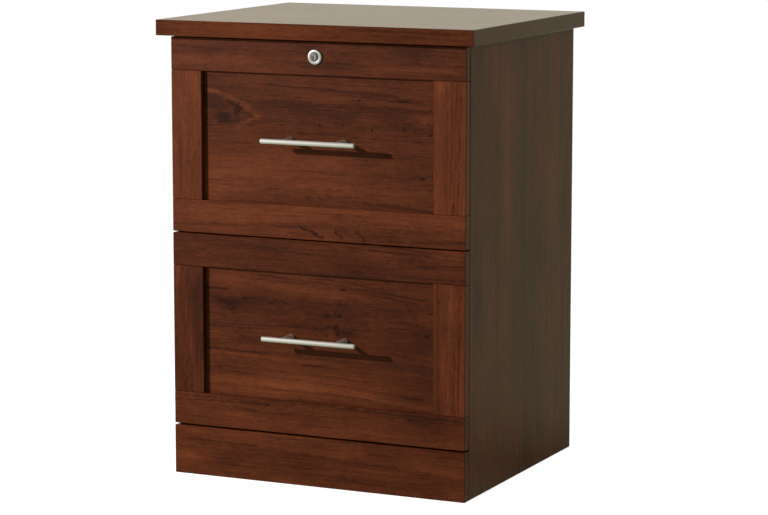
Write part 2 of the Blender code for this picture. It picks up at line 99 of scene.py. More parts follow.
# %% Soft box and side panel
KEY_AT = Vector((-2.62, -2.53, 1.66))
KEY_AIM = Vector((0.0, -0.2, 0.45))
KEY_SIZE = 0.12
KEY_WATTS = 192.0
SIDE_AT = Vector((2.3, 0.7, 1.5))
SIDE_AIM = Vector((0.2, 0.1, 0.4))
SIDE_SIZE = 1.6
SIDE_WATTS = 6.5


def soft_light(name, at, aim, size, watts):
    """A round lamp that faces the point it is aimed at."""
    lamp = bpy.data.lights.new(name, "AREA")
    lamp.shape = "DISK"
    lamp.size = size
    lamp.energy = watts
    holder = new_object(name, lamp)
    holder.location = at
    holder.rotation_euler = (aim - at).to_track_quat("-Z", "Y").to_euler()


soft_light("soft_box", KEY_AT, KEY_AIM, KEY_SIZE, KEY_WATTS)
soft_light("side_panel", SIDE_AT, SIDE_AIM, SIDE_SIZE, SIDE_WATTS)
print(f"soft box of {KEY_WATTS} W at {KEY_AT[:]}, side panel of {SIDE_WATTS} W")

# %% White backdrop
FILL = 0.205
WHITE = (1.0, 1.0, 1.0, 1.0)
WARM_WHITE = (1.0, 0.97, 0.78, 1.0)


def shader_of(tree, kind, colour, strength=None):
    """A shader of one colour. Its strength, if it has one, is a number or a socket."""
    node = tree.nodes.new(kind)
    node.inputs["Color"].default_value = colour
    if isinstance(strength, float):
        node.inputs["Strength"].default_value = strength
    elif strength is not None:
        tree.links.new(strength, node.inputs["Strength"])
    return node.outputs[0]


def show_by_ray(tree, output, plain, glossy, seen):
    """Shows one shader to stray light, one to gloss and clear surfaces, and one to the camera."""
    path = tree.nodes.new("ShaderNodeLightPath")
    gloss = tree.nodes.new("ShaderNodeMath")
    gloss.operation = "MAXIMUM"
    tree.links.new(path.outputs["Is Glossy Ray"], gloss.inputs[0])
    tree.links.new(path.outputs["Is Transmission Ray"], gloss.inputs[1])
    shown = plain
    for test, shader in ((gloss.outputs[0], glossy), (path.outputs["Is Camera Ray"], seen)):
        mix = tree.nodes.new("ShaderNodeMixShader")
        tree.links.new(test, mix.inputs[0])
        tree.links.new(shown, mix.inputs[1])
        tree.links.new(shader, mix.inputs[2])
        shown = mix.outputs[0]
    tree.links.new(shown, tree.nodes.new(output).inputs["Surface"])


world = bpy.data.worlds.new("studio")
world.use_nodes = True
world.cycles.sampling_method = "NONE"
tree = world.node_tree
tree.nodes.clear()
show_by_ray(
    tree,
    "ShaderNodeOutputWorld",
    plain=shader_of(tree, "ShaderNodeBackground", WHITE, FILL),
    glossy=shader_of(tree, "ShaderNodeBackground", WARM_WHITE, 1.0),
    seen=shader_of(tree, "ShaderNodeBackground", WHITE, 1.0),
)
scene.world = world
print(f"backdrop with a fill of {FILL}")

# %% [markdown]
# ## The floor
#
# A plain pale sheet. It could be lit to white, but then the wood would be lit too hard. To the camera
# it glows a little under white and keeps a share of its true shading on top, so open floor meets the
# backdrop without a line and the cabinet still sits in its own soft shadow. Gloss sees a warm glowing
# floor that is bright far away, with a painted shadow at the cabinet's right, where its real shadow
# lies: the glow is dimmer near that spot, so the side darkens towards its foot in its reflection.

# %% Glow of the floor
# Where the floor's glow is dimmed into a painted shadow, and how far it reaches.
GLOSS_NEAR, GLOSS_FAR, GLOSS_REACH = 0.22, 0.75, 0.44
SHADOW_AT = (0.30, 0.12, 0.0)


def glowing_sheet(tree, colour, strength, shade):
    """A sheet that gives out some light of its own and shades the rest."""
    both = tree.nodes.new("ShaderNodeAddShader")
    tree.links.new(shader_of(tree, "ShaderNodeEmission", colour, strength), both.inputs[0])
    tree.links.new(shader_of(tree, "ShaderNodeBsdfDiffuse", shade), both.inputs[1])
    return both.outputs[0]


def painted_shadow_by_distance(tree):
    """A painted shadow: a glow dim where the cabinet's shadow lies, rising to full strength on the open
    floor.
    """
    place = tree.nodes.new("ShaderNodeTexCoord").outputs["Object"]
    distance = tree.nodes.new("ShaderNodeVectorMath")
    distance.operation = "DISTANCE"
    tree.links.new(place, distance.inputs[0])
    distance.inputs[1].default_value = SHADOW_AT
    ramp = tree.nodes.new("ShaderNodeMapRange")
    ramp.inputs["From Max"].default_value = GLOSS_REACH
    ramp.inputs["To Min"].default_value = GLOSS_NEAR
    ramp.inputs["To Max"].default_value = GLOSS_FAR
    tree.links.new(distance.outputs["Value"], ramp.inputs["Value"])
    return ramp.outputs["Result"]


print(f"floor glow from {GLOSS_NEAR} to {GLOSS_FAR}")

# %% Pale floor
FLOOR_HALF = 14.0
FLOOR_DROP = 0.0004
FLOOR_COLOUR = (0.55, 0.55, 0.55, 1.0)
CAMERA_GLOW = 0.935
CAMERA_SHADE = (0.34, 0.34, 0.34, 1.0)
GLOSS_COLOUR = (0.95, 1.08, 0.71, 1.0)
GLOSS_SHADE = (0.30, 0.31, 0.20, 1.0)


def plane_mesh(name, half):
    """A flat square about the origin."""
    mesh = bpy.data.meshes.new(name)
    bm = bmesh.new()
    bmesh.ops.create_grid(bm, x_segments=1, y_segments=1, size=half)
    bm.to_mesh(mesh)
    bm.free()
    return mesh


floor = new_object("floor", plane_mesh("floor", FLOOR_HALF))
floor.location = (0.0, 0.0, -FLOOR_DROP)
floor_finish = bpy.data.materials.new("pale_floor")
floor_finish.use_nodes = True
floor_finish.cycles.emission_sampling = "NONE"
tree = floor_finish.node_tree
tree.nodes.clear()
show_by_ray(
    tree,
    "ShaderNodeOutputMaterial",
    plain=shader_of(tree, "ShaderNodeBsdfDiffuse", FLOOR_COLOUR),
    # The glow that gloss sees carries a painted shadow near the cabinet's right.
    glossy=glowing_sheet(tree, GLOSS_COLOUR, painted_shadow_by_distance(tree), GLOSS_SHADE),
    seen=glowing_sheet(tree, WHITE, CAMERA_GLOW, CAMERA_SHADE),
)
floor.data.materials.append(floor_finish)
print(f"floor {2 * FLOOR_HALF} m square")

# %% [markdown]
# ## A short way to write a finish
#
# A finish is a chain of shader nodes, and a wood needs dozens of them. Linking them one by one hides
# the recipe, so a small helper lets a shade be written as a sum: each plus, minus or times adds the
# math node that does it. A node's object sits at the origin, so its Object coordinates are the
# cabinet's own metres, and a pattern rides with its piece when a drawer opens.


# %% Shades
class Shade:
    """A number that varies over a surface. Sums and products of shades become shader nodes."""

    def __init__(self, finish, socket):
        self.finish = finish
        self.socket = socket

    def __add__(self, other):
        return self.finish.math("ADD", self, other)

    def __sub__(self, other):
        return self.finish.math("SUBTRACT", self, other)

    def __rsub__(self, other):
        return self.finish.math("SUBTRACT", other, self)

    def __mul__(self, other):
        return self.finish.math("MULTIPLY", self, other)

    __radd__ = __add__
    __rmul__ = __mul__


print("shades ready")


# %% Finishes
class Finish:
    """One material: shader nodes that feed its Principled surface."""

    def __init__(self, name):
        self.material = bpy.data.materials.new(name)
        self.material.use_nodes = True
        self.tree = self.material.node_tree
        self.surface = self.tree.nodes["Principled BSDF"]
        place = self.tree.nodes.new("ShaderNodeTexCoord").outputs["Object"]
        split = self.tree.nodes.new("ShaderNodeSeparateXYZ")
        self.tree.links.new(place, split.inputs[0])
        self.x, self.y, self.z = (Shade(self, socket) for socket in split.outputs)

    def feed(self, socket, value):
        """Links a shade to a socket, or sets a plain value on it."""
        if isinstance(value, Shade):
            self.tree.links.new(value.socket, socket)
        else:
            socket.default_value = value

    def math(self, operation, *values):
        """The result of a math node on shades or plain numbers."""
        node = self.tree.nodes.new("ShaderNodeMath")
        node.operation = operation
        for socket, value in zip(node.inputs, values):
            self.feed(socket, value)
        return Shade(self, node.outputs[0])

    def noise(self, x, y, z, detail=2.0, roughness=0.5):
        """Cloudy noise about zero, mostly within 0.25 either way."""
        join = self.tree.nodes.new("ShaderNodeCombineXYZ")
        for socket, value in zip(join.inputs, (x, y, z)):
            self.feed(socket, value)
        node = self.tree.nodes.new("ShaderNodeTexNoise")
        node.inputs["Scale"].default_value = 1.0
        node.inputs["Detail"].default_value = detail
        node.inputs["Roughness"].default_value = roughness
        self.tree.links.new(join.outputs[0], node.inputs["Vector"])
        return Shade(self, node.outputs["Fac"]) - 0.5

    def step(self, value, low, high):
        """0 below low, 1 above high, and smooth between."""
        node = self.tree.nodes.new("ShaderNodeMapRange")
        node.interpolation_type = "SMOOTHSTEP"
        self.feed(node.inputs["Value"], value)
        node.inputs["From Min"].default_value = low
        node.inputs["From Max"].default_value = high
        return Shade(self, node.outputs["Result"])

    def bell(self, *offsets):
        """1 where every offset is zero, falling smoothly to nothing about two units away."""
        total = offsets[0] * offsets[0]
        for offset in offsets[1:]:
            total = total + offset * offset
        return self.math("EXPONENT", total * -1.0)

    def ramp(self, value, stops):
        """A colour for each shade, from (position, colour) stops."""
        node = self.tree.nodes.new("ShaderNodeValToRGB")
        while len(node.color_ramp.elements) < len(stops):
            node.color_ramp.elements.new(0.5)
        for element, (position, colour) in zip(node.color_ramp.elements, stops):
            element.position = position
            element.color = (*colour, 1.0)
        self.feed(node.inputs[0], value)
        return Shade(self, node.outputs["Color"])

    def wear(self, colour, roughness, height, depth, gloss=0.5):
        """Feeds the finished colour, roughness and relief to the surface; depth is in metres."""
        self.surface.inputs["Specular IOR Level"].default_value = gloss
        self.feed(self.surface.inputs["Base Color"], colour)
        self.feed(self.surface.inputs["Roughness"], roughness)
        bump = self.tree.nodes.new("ShaderNodeBump")
        bump.inputs["Distance"].default_value = depth
        bump.inputs["Strength"].default_value = 1.0
        self.feed(bump.inputs["Height"], height)
        self.tree.links.new(bump.outputs["Normal"], self.surface.inputs["Normal"])


def dress(node, finish):
    """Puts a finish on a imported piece."""
    nodes[node].material_slots[0].material = finish.material


print("finish helper ready")

# %% [markdown]
# ## Cherry board
#
# The boards are covered with a printed cherry: long darker and lighter bands, thin dark growth lines,
# short pores, and the odd knot that the lines bend round. An image would be the usual way, but a
# formula stays sharp at any distance and can turn with each board. Noise that is stretched along the
# grain gives the bands. A knot lifts the lines near it: the height across the grain is changed by a
# bell, and all layers read that changed height, so they bend together.
#
# Noise alone gives every board the same even figure. A real front has a few large features that stay in
# mind: a knot at one end, an arched light vein, a dark streak. They are written as marks: a patch is a
# soft blotch, a speck a small firm one, a vein a thin bowed line, and a swirl only bends the grain. A
# knot is a few of them together: dark blotches inside two pale veins that meet in a point. Each is
# placed along and across the grain in metres.

# %% Marks in the grain
Patch = namedtuple("Patch", "along across length height shade")
Speck = namedtuple("Speck", "along across length height shade")
Vein = namedtuple("Vein", "start end width shade bow", defaults=(0.0,))
Swirl = namedtuple("Swirl", "along across length height lift")
SPECK_RAGGED = 2.4
SPECK_EDGE = (0.25, 1.25)
VEIN_FADE = 0.18


def mark_offsets(along, across, mark):
    """How far a place is from the middle of a mark, in its own lengths and heights."""
    return (along - mark.along) * (1 / mark.length), (across - mark.across) * (1 / mark.height)


def patch_shade(finish, along, across, mark):
    """A soft blotch."""
    return mark.shade * finish.bell(*mark_offsets(along, across, mark))


def speck_shade(finish, along, across, ragged, mark):
    """A small blot with a firm, uneven edge."""
    out, up = mark_offsets(along, across, mark)
    return mark.shade * (1.0 - finish.step(out * out + up * up + SPECK_RAGGED * ragged, *SPECK_EDGE))


def vein_shade(finish, along, across, mark):
    """A thin line between two points, bowed across the grain, that fades in and out at its ends."""
    run = (along - mark.start[0]) * (1 / (mark.end[0] - mark.start[0]))
    middle = mark.start[1] + (mark.end[1] - mark.start[1]) * run + (4 * mark.bow) * (run * (1.0 - run))
    ends = finish.step(run, 0.0, VEIN_FADE) * (1.0 - finish.step(run, 1.0 - VEIN_FADE, 1.0))
    return mark.shade * (ends * finish.bell((across - middle) * (1 / mark.width)))


MARK_SHADES = {Patch: patch_shade, Vein: vein_shade}
print("marks:", ", ".join(kind.__name__.lower() for kind in (*MARK_SHADES, Speck, Swirl)))

# %% Tones and grain of cherry
CHERRY_TONES = (
    (0.00, (0.016, 0.0033, 0.0014)),
    (0.25, (0.040, 0.0086, 0.0027)),
    (0.50, (0.078, 0.0180, 0.0055)),
    (0.75, (0.124, 0.0310, 0.0098)),
    (1.00, (0.170, 0.0460, 0.0155)),
)
CHERRY_GLOSS = 0.058
CHERRY_RELIEF = 0.00004
Board = namedtuple(
    "Board", "grain seed tone figure lines rough gloss", defaults=(1.0, 1.0, 0.42, CHERRY_GLOSS)
)


def grain_axes(finish, grain):
    """Along, across and through the grain of a board, for grain along X, Y or Z."""
    return {
        "x": (finish.x, finish.z, finish.y),
        "y": (finish.y, finish.z, finish.x),
        "z": (finish.z, finish.x, finish.y),
        "z_side": (finish.z, finish.y, finish.x),
    }[grain]


print(f"cherry in {len(CHERRY_TONES)} tones")


# %% Cherry recipe
def cherry(name, board, marks=()):
    """A cherry print.

    Tone is the board's mean shade, figure the strength of its bands and lines that of its growth lines.
    """
    finish = Finish(name)
    figure = board.figure
    along, across, through = grain_axes(finish, board.grain)

    def layer(stretch, spread, offset, detail=2.0, roughness=0.5, height=across):
        """Noise that varies slowly along the grain, by stretch, and fast across it, by spread."""
        depth = through * spread + (board.seed + offset)
        return finish.noise(along * stretch, height * spread, depth, detail, roughness)

    height = across + 0.030 * layer(1.3, 2.5, 0.0, 1.0) + 0.0045 * layer(8.0, 20.0, 3.1, 1.0)
    for mark in marks:
        if isinstance(mark, Swirl):
            height = height + patch_shade(finish, along, across, Patch(*mark))
    cloud = layer(7.0, 17.0, 7.7, 3.0, 0.55, height)
    bands = layer(1.1, 24.0, 11.3, 2.0, 0.5, height)
    streaks = layer(3.4, 125.0, 23.9, 3.0, 0.6, height)
    fibres = layer(18.0, 560.0, 37.1, 2.0, 0.5, height)
    flecks = layer(120.0, 520.0, 91.7, 2.0, 0.6)
    mottle = layer(60.0, 150.0, 43.3, 3.0, 0.6)
    growth = finish.math("ABSOLUTE", layer(1.2, 50.0, 51.7, 1.0, 0.5, height))
    broken = finish.step(cloud + 0.9 * layer(85.0, 240.0, 59.9, 2.0), -0.12, 0.14)
    line = (1.0 - finish.step(growth, 0.0, 0.030)) * broken
    pore = finish.step(layer(30.0, 430.0, 67.3, 2.0, 0.5, height), 0.11, 0.21)
    shade = board.tone + figure * (0.38 * bands + 0.80 * cloud + 0.34 * streaks) + 0.40 * fibres
    shade = shade + 0.42 * flecks + 0.26 * mottle - (0.24 * board.lines) * line - 0.14 * pore
    marked_along = along + 0.030 * mottle
    marked_across = across + 0.007 * mottle + 0.012 * cloud
    for mark in marks:
        if isinstance(mark, Speck):
            shade = shade + speck_shade(finish, along, across, flecks, mark)
        elif type(mark) in MARK_SHADES:
            shade = shade + MARK_SHADES[type(mark)](finish, marked_along, marked_across, mark)
    colour = finish.ramp(shade, CHERRY_TONES)
    rough = board.rough - figure * 0.16 * streaks + 0.06 * pore
    finish.wear(colour, rough, fibres - 0.8 * pore, CHERRY_RELIEF * figure, board.gloss)
    return finish


def dress_board(node, board, marks=()):
    """Gives one board its own print."""
    dress(node, cherry(f"cherry_{node}", board, marks))
    print(f"{node}: tone {board.tone}, {len(marks)} marks")


print("cherry recipe ready")

# %% [markdown]
# ## The carcass
#
# The top is the smoothest board, and its grain runs along the front edge. The sides have broad upright
# bands. All boards could share one print, but then their bands would repeat, so each has a seed of its
# own. Those that only show when a drawer is open need no marks.

# %% Carcass boards
dress_board("top_panel", Board("x", 2.0, 0.53, 0.45, 1.0, 0.24, gloss=0.066), (
    Patch(-0.17, 0.738, 0.09, 0.04, 0.02),
    Patch(-0.275, 0.737, 0.03, 0.03, -0.15),
    Patch(0.12, 0.738, 0.15, 0.04, -0.04),
    Vein((0.04, 0.742), (0.285, 0.738), 0.0016, -0.19),
    Vein((0.08, 0.733), (0.285, 0.73), 0.0014, -0.16),
    Vein((-0.12, 0.731), (0.06, 0.729), 0.0016, -0.13),
))
dress_board("side_panel_left", Board("z_side", 5.0, 0.50, 1.1, 0.9))
dress_board("side_panel_right", Board("z_side", 8.0, 0.465, 1.0, 0.9, 0.40), (
    Vein((0.9, -0.055), (-0.12, -0.05), 0.04, 0.11),
    Vein((0.9, 0.16), (-0.12, 0.165), 0.045, 0.14),
    Vein((0.9, 0.05), (-0.12, 0.048), 0.03, -0.09),
))
dress_board("kick_panel", Board("x", 14.0, 0.43, 0.9, 0.8), (
    Patch(-0.215, 0.036, 0.04, 0.01, 0.16),
    Patch(-0.08, 0.031, 0.05, 0.006, 0.07),
    Patch(0.04, 0.027, 0.05, 0.007, 0.11),
    Patch(0.205, 0.047, 0.05, 0.006, 0.11),
    Patch(0.12, 0.061, 0.06, 0.006, -0.08),
    Vein((-0.26, 0.06), (-0.09, 0.057), 0.002, -0.19),
    Vein((-0.11, 0.052), (0.25, 0.036), 0.004, -0.17, 0.002),
    Vein((-0.02, 0.014), (0.25, 0.011), 0.0016, -0.14),
))
dress_board("bottom_panel", Board("x", 11.0, 0.46))
dress_board("rear_base_rail", Board("x", 17.0, 0.46))
dress_board("divider_rail", Board("x", 20.0, 0.48))
dress_board("lock_rail", Board("x", 23.0, 0.48))

# %% [markdown]
# ## The upper front
#
# Its panel has a knot at the left, a long dark streak under the top rail and a paler lower half. The
# bottom rail has three short cracks across a dark band. The grain of the stiles is upright, and closest
# on the right one. Chance would not put these features in their places, so each is a mark listed in its
# place, and noise fills in between.

# %% Panel of the upper front
dress_board("upper_front_field_panel", Board("x", 43.0, 0.365, 0.8, 0.9), (
    Patch(-0.194, 0.6335, 0.014, 0.0042, 0.18),
    Patch(-0.15, 0.648, 0.06, 0.012, 0.08),
    Patch(-0.172, 0.5944, 0.013, 0.006, -0.38),
    Speck(-0.168, 0.5965, 0.0095, 0.0046, -0.25),
    Patch(-0.146, 0.6035, 0.0036, 0.0085, -0.32),
    Speck(-0.142, 0.6085, 0.0054, 0.0054, -0.25),
    Vein((-0.163, 0.621), (-0.129, 0.6045), 0.0026, -0.32, 0.001),
    Vein((-0.18, 0.5866), (-0.14, 0.5886), 0.002, -0.32),
    Vein((-0.21, 0.637), (-0.099, 0.596), 0.0042, 0.27, 0.007),
    Patch(-0.106, 0.596, 0.009, 0.0045, 0.2),
    Vein((-0.15, 0.579), (-0.1, 0.6005), 0.0028, 0.18, -0.001),
    Vein((-0.13, 0.651), (0.215, 0.633), 0.002, -0.23, 0.002),
    Vein((-0.02, 0.641), (0.215, 0.627), 0.0014, -0.16, 0.001),
    Vein((-0.12, 0.657), (0.15, 0.652), 0.0013, -0.12, 0.001),
    Vein((-0.015, 0.621), (0.09, 0.631), 0.003, 0.1, 0.006),
    Patch(0.15, 0.634, 0.022, 0.0024, -0.27),
    Patch(0.095, 0.637, 0.016, 0.002, -0.18),
    Patch(-0.034, 0.617, 0.036, 0.01, -0.13),
    Patch(0.036, 0.603, 0.04, 0.01, -0.15),
    Patch(0.085, 0.618, 0.034, 0.009, -0.09),
    Patch(0.15, 0.598, 0.06, 0.018, -0.07),
    Patch(0.186, 0.603, 0.018, 0.008, 0.3),
    Speck(0.073, 0.63, 0.0041, 0.0024, -0.43),
    Speck(0.147, 0.631, 0.0115, 0.0023, -0.43),
    Speck(0.004, 0.587, 0.003, 0.0024, -0.49),
    Speck(0.045, 0.589, 0.0024, 0.002, -0.43),
    Speck(0.096, 0.584, 0.0024, 0.0032, -0.49),
    Speck(0.151, 0.587, 0.0022, 0.0041, -0.55),
    Speck(0.17, 0.586, 0.0024, 0.0019, -0.43),
    Speck(0.196, 0.58, 0.003, 0.0027, -0.43),
    Patch(-0.06, 0.5, 0.24, 0.046, 0.29),
    Patch(-0.159, 0.509, 0.04, 0.012, 0.07),
    Vein((-0.215, 0.579), (-0.105, 0.584), 0.0013, -0.2, 0.001),
    Vein((-0.215, 0.512), (-0.14, 0.513), 0.0012, -0.19),
    Vein((-0.11, 0.506), (0.06, 0.507), 0.0014, -0.16, 0.006),
    Vein((-0.06, 0.497), (0.045, 0.498), 0.0013, -0.13, 0.003),
    Speck(0.184, 0.511, 0.0054, 0.0024, -0.65),
    Vein((0.06, 0.467), (0.22, 0.46), 0.0026, -0.25),
    Patch(0.0, 0.467, 0.08, 0.006, -0.09),
))

# %% Rails and stiles of the upper front
dress_board("upper_front_top_rail", Board("x", 31.0, 0.40, 0.8, 0.9), (
    Patch(-0.205, 0.708, 0.06, 0.01, -0.12),
    Vein((-0.29, 0.677), (0.02, 0.692), 0.0065, 0.14),
    Vein((-0.09, 0.688), (0.13, 0.684), 0.0024, -0.2),
    Vein((-0.04, 0.681), (0.11, 0.678), 0.0018, -0.17),
    Patch(0.15, 0.706, 0.12, 0.009, -0.1),
    Vein((0.04, 0.683), (0.29, 0.68), 0.0045, 0.11),
    Vein((0.15, 0.691), (0.28, 0.689), 0.0018, -0.16),
))
dress_board("upper_front_bottom_rail", Board("x", 34.0, 0.54, 0.7, 0.9), (
    Patch(-0.05, 0.443, 0.25, 0.011, 0.05),
    Patch(0.19, 0.441, 0.06, 0.01, 0.06),
    Vein((-0.29, 0.412), (0.005, 0.4225), 0.0024, -0.2, 0.004),
    Patch(-0.11, 0.409, 0.15, 0.004, -0.1),
    Vein((-0.034, 0.4238), (0.016, 0.408), 0.0019, -0.62, 0.001),
    Vein((0.031, 0.425), (0.047, 0.408), 0.0022, -0.46, 0.001),
    Vein((0.072, 0.424), (0.086, 0.406), 0.0022, -0.62, -0.0015),
    Patch(0.1, 0.417, 0.06, 0.007, -0.15),
    Vein((0.05, 0.408), (0.29, 0.418), 0.0022, -0.19, -0.004),
    Vein((-0.01, 0.4405), (0.27, 0.437), 0.0012, -0.16),
    Vein((0.09, 0.431), (0.27, 0.428), 0.0011, -0.16),
))
dress_board("upper_front_left_stile", Board("z", 37.0, 0.58, 0.6, 0.5), (
    Vein((0.69, -0.236), (0.59, -0.234), 0.003, -0.07),
    Vein((0.68, -0.221), (0.54, -0.224), 0.003, -0.08),
    Vein((0.57, -0.246), (0.45, -0.244), 0.003, -0.09),
    Vein((0.54, -0.219), (0.45, -0.226), 0.003, -0.09),
))
dress_board("upper_front_right_stile", Board("z", 41.5, 0.615, 0.6, 1.3), (
    Patch(0.656, 0.215, 0.014, 0.01, 0.18),
    Patch(0.54, 0.213, 0.07, 0.006, 0.06),
    Vein((0.69, 0.237), (0.45, 0.234), 0.0013, -0.17),
    Vein((0.69, 0.243), (0.45, 0.24), 0.0013, -0.17),
    Vein((0.69, 0.25), (0.45, 0.246), 0.0013, -0.17),
    Vein((0.69, 0.228), (0.45, 0.226), 0.0012, -0.13),
))

# %% [markdown]
# ## The lower front
#
# Its panel is darker than the upper one. Lines slope down across its upper part, a group of small knots
# sits above the pull, and a bright vein bows along its foot. A copy of the upper front would be
# quicker, but two boards are never alike, so it has marks of its own.

# %% Panel of the lower front
dress_board("lower_front_field_panel", Board("x", 58.0, 0.365, 0.8, 0.9), (
    Swirl(0.03, 0.273, 0.06, 0.02, 0.005),
    Patch(0.0173, 0.2812, 0.015, 0.005, -0.21),
    Speck(0.0155, 0.28, 0.0049, 0.003, -0.49),
    Speck(0.0311, 0.2869, 0.003, 0.0035, -0.49),
    Speck(0.0375, 0.2822, 0.0054, 0.0043, -0.58),
    Speck(0.0196, 0.264, 0.0049, 0.002, -0.43),
    Speck(0.031, 0.2629, 0.0062, 0.0046, -0.61),
    Speck(0.0349, 0.2528, 0.0032, 0.0041, -0.52),
    Patch(0.0493, 0.2552, 0.012, 0.005, -0.21),
    Patch(0.0226, 0.2523, 0.005, 0.006, 0.21),
    Speck(0.0445, 0.3252, 0.0068, 0.002, -0.43),
    Speck(0.191, 0.261, 0.0054, 0.003, -0.38),
    Speck(0.173, 0.278, 0.0024, 0.0019, -0.38),
    Speck(0.09, 0.264, 0.0022, 0.0019, -0.38),
    Speck(-0.131, 0.3, 0.0068, 0.0024, -0.35),
    Speck(-0.175, 0.294, 0.0081, 0.0022, -0.32),
    Speck(-0.157, 0.28, 0.0068, 0.0022, -0.32),
    Vein((-0.225, 0.3135), (-0.155, 0.3158), 0.002, -0.38),
    Patch(-0.16, 0.297, 0.045, 0.008, -0.25),
    Patch(-0.16, 0.285, 0.024, 0.008, -0.23),
    Patch(-0.02, 0.326, 0.1, 0.013, 0.13),
    Patch(0.08, 0.314, 0.08, 0.01, 0.1),
    Vein((-0.15, 0.343), (0.23, 0.311), 0.0016, -0.25, 0.004),
    Vein((-0.17, 0.337), (0.22, 0.304), 0.0014, -0.21, 0.004),
    Vein((-0.08, 0.334), (0.14, 0.318), 0.0014, -0.23, 0.002),
    Vein((-0.02, 0.342), (0.15, 0.326), 0.0013, -0.21, 0.002),
    Patch(0.168, 0.268, 0.05, 0.014, -0.15),
    Patch(-0.19, 0.237, 0.03, 0.01, 0.18),
    Vein((-0.235, 0.2078), (0.075, 0.2), 0.0036, 0.16),
    Vein((-0.21, 0.2128), (-0.08, 0.2104), 0.0014, -0.29),
    Patch(-0.015, 0.196, 0.02, 0.0017, -0.45),
    Vein((-0.26, 0.16), (0.25, 0.134), 0.0048, 0.16, 0.0125),
    Vein((-0.26, 0.152), (0.21, 0.135), 0.0028, -0.09, 0.0105),
    Vein((-0.26, 0.172), (0.25, 0.147), 0.0016, -0.13, 0.0115),
    Vein((-0.23, 0.182), (0.2, 0.169), 0.0014, -0.12, 0.006),
    Patch(0.165, 0.156, 0.02, 0.005, -0.21),
    Patch(-0.02, 0.172, 0.2, 0.032, 0.21),
))

# %% Rails and stiles of the lower front
dress_board("lower_front_top_rail", Board("x", 46.0, 0.385, 0.8, 0.9), (
    Patch(-0.22, 0.4, 0.05, 0.018, 0.1),
    Patch(-0.05, 0.395, 0.1, 0.025, -0.1),
    Patch(0.23, 0.395, 0.03, 0.011, 0.2),
    Patch(0.11, 0.384, 0.05, 0.006, 0.08),
    Vein((0.01, 0.406), (0.285, 0.391), 0.0016, -0.16),
    Vein((0.04, 0.398), (0.285, 0.383), 0.0014, -0.16),
    Vein((0.06, 0.388), (0.27, 0.376), 0.0013, -0.13),
))
dress_board("lower_front_bottom_rail", Board("x", 49.0, 0.455, 0.8, 0.8), (
    Patch(-0.21, 0.113, 0.05, 0.012, 0.07),
    Patch(0.2, 0.124, 0.07, 0.011, -0.19),
    Patch(0.165, 0.124, 0.01, 0.003, -0.24),
    Vein((0.01, 0.1338), (0.29, 0.1295), 0.0017, -0.26),
    Patch(-0.11, 0.128, 0.03, 0.003, -0.2),
    Patch(-0.06, 0.1, 0.06, 0.007, 0.07),
    Patch(0.08, 0.097, 0.06, 0.005, 0.08),
    Patch(0.02, 0.113, 0.08, 0.009, -0.06),
))
dress_board("lower_front_left_stile", Board("z", 52.0, 0.29, 0.8, 0.8), (
    Patch(0.345, -0.253, 0.02, 0.006, 0.2),
    Patch(0.22, -0.232, 0.03, 0.006, 0.15),
    Patch(0.3, -0.225, 0.04, 0.006, -0.06),
))
dress_board("lower_front_right_stile", Board("z", 55.0, 0.47, 0.8, 1.3), (
    Patch(0.31, 0.24, 0.03, 0.008, 0.18),
    Patch(0.2, 0.226, 0.03, 0.005, 0.14),
    Vein((0.37, 0.214), (0.12, 0.213), 0.0016, -0.14),
    Vein((0.37, 0.252), (0.12, 0.25), 0.0014, -0.13),
))

# %% [markdown]
# ## The drawer boxes
#
# The boxes are covered with a plainer print of the same cherry. Every board could have its own, but the
# boxes are seldom seen, so two prints do: one for the boards that run front to back and one for those
# that run across.

# %% Drawer boxes in plainer cherry board
DRAWERS = ("upper", "lower")
SIDES = {"left": -1, "right": 1}

box_lengthwise = cherry("cherry_box_sides", Board("y", 71.0, 0.46, 0.8, 0.6))
box_crosswise = cherry("cherry_box_ends", Board("x", 74.0, 0.46, 0.8, 0.6))
for drawer in DRAWERS:
    for side in SIDES:
        dress(f"{drawer}_box_{side}_side", box_lengthwise)
    for end in ("front", "back"):
        dress(f"{drawer}_box_{end}", box_crosswise)
print("8 drawer box boards")

# %% [markdown]
# ## Hardboard
#
# The back and the bottoms of the drawers are pressed wood fibre. The cherry recipe would give it a
# grain that runs one way, so it has its own recipe, with noise as fine along one axis as along another.
# A broad cloud keeps the large sheets from looking flat.

# %% Hardboard sheets
HARDBOARD_TONES = (
    (0.1, (0.105, 0.048, 0.022)),
    (0.5, (0.210, 0.104, 0.050)),
    (0.9, (0.330, 0.180, 0.094)),
)
HARDBOARD_ROUGH = 0.78
HARDBOARD_GLOSS = 0.06
HARDBOARD_RELIEF = 0.00012


def hardboard(name):
    """Pressed wood fibre, brown and matt, with paler and darker fibres."""
    finish = Finish(name)
    cloud = finish.noise(finish.x * 9.0, finish.y * 9.0, finish.z * 9.0, detail=3.0)
    fibre = finish.noise(finish.x * 420.0, finish.y * 420.0, finish.z * 420.0, detail=4.0, roughness=0.65)
    colour = finish.ramp(0.5 + 0.5 * cloud + 1.1 * fibre, HARDBOARD_TONES)
    finish.wear(colour, HARDBOARD_ROUGH + 0.3 * fibre, fibre, HARDBOARD_RELIEF, HARDBOARD_GLOSS)
    return finish


board_brown = hardboard("hardboard")
for node in ("back_panel", "upper_box_bottom", "lower_box_bottom"):
    dress(node, board_brown)
print("3 hardboard sheets")

# %% [markdown]
# ## Metals
#
# The pulls are satin nickel. The lock has a satin ring, a dark plug and a polished shutter, and the
# slides and screws are plain zinc. The plug's near-black tone is painted shade for the dark inside of
# the lock. One even roughness would be simpler, but it looks like grey plastic.
# So all have a faint cloud in their tone, and brush lines that change their roughness and relief: noise
# stretched along the way the piece was polished.

# %% Metal finishes
BRUSH_MARKS = 0.10
BRUSH_RELIEF = 0.000012
DARKER, LIGHTER = 0.86, 1.10


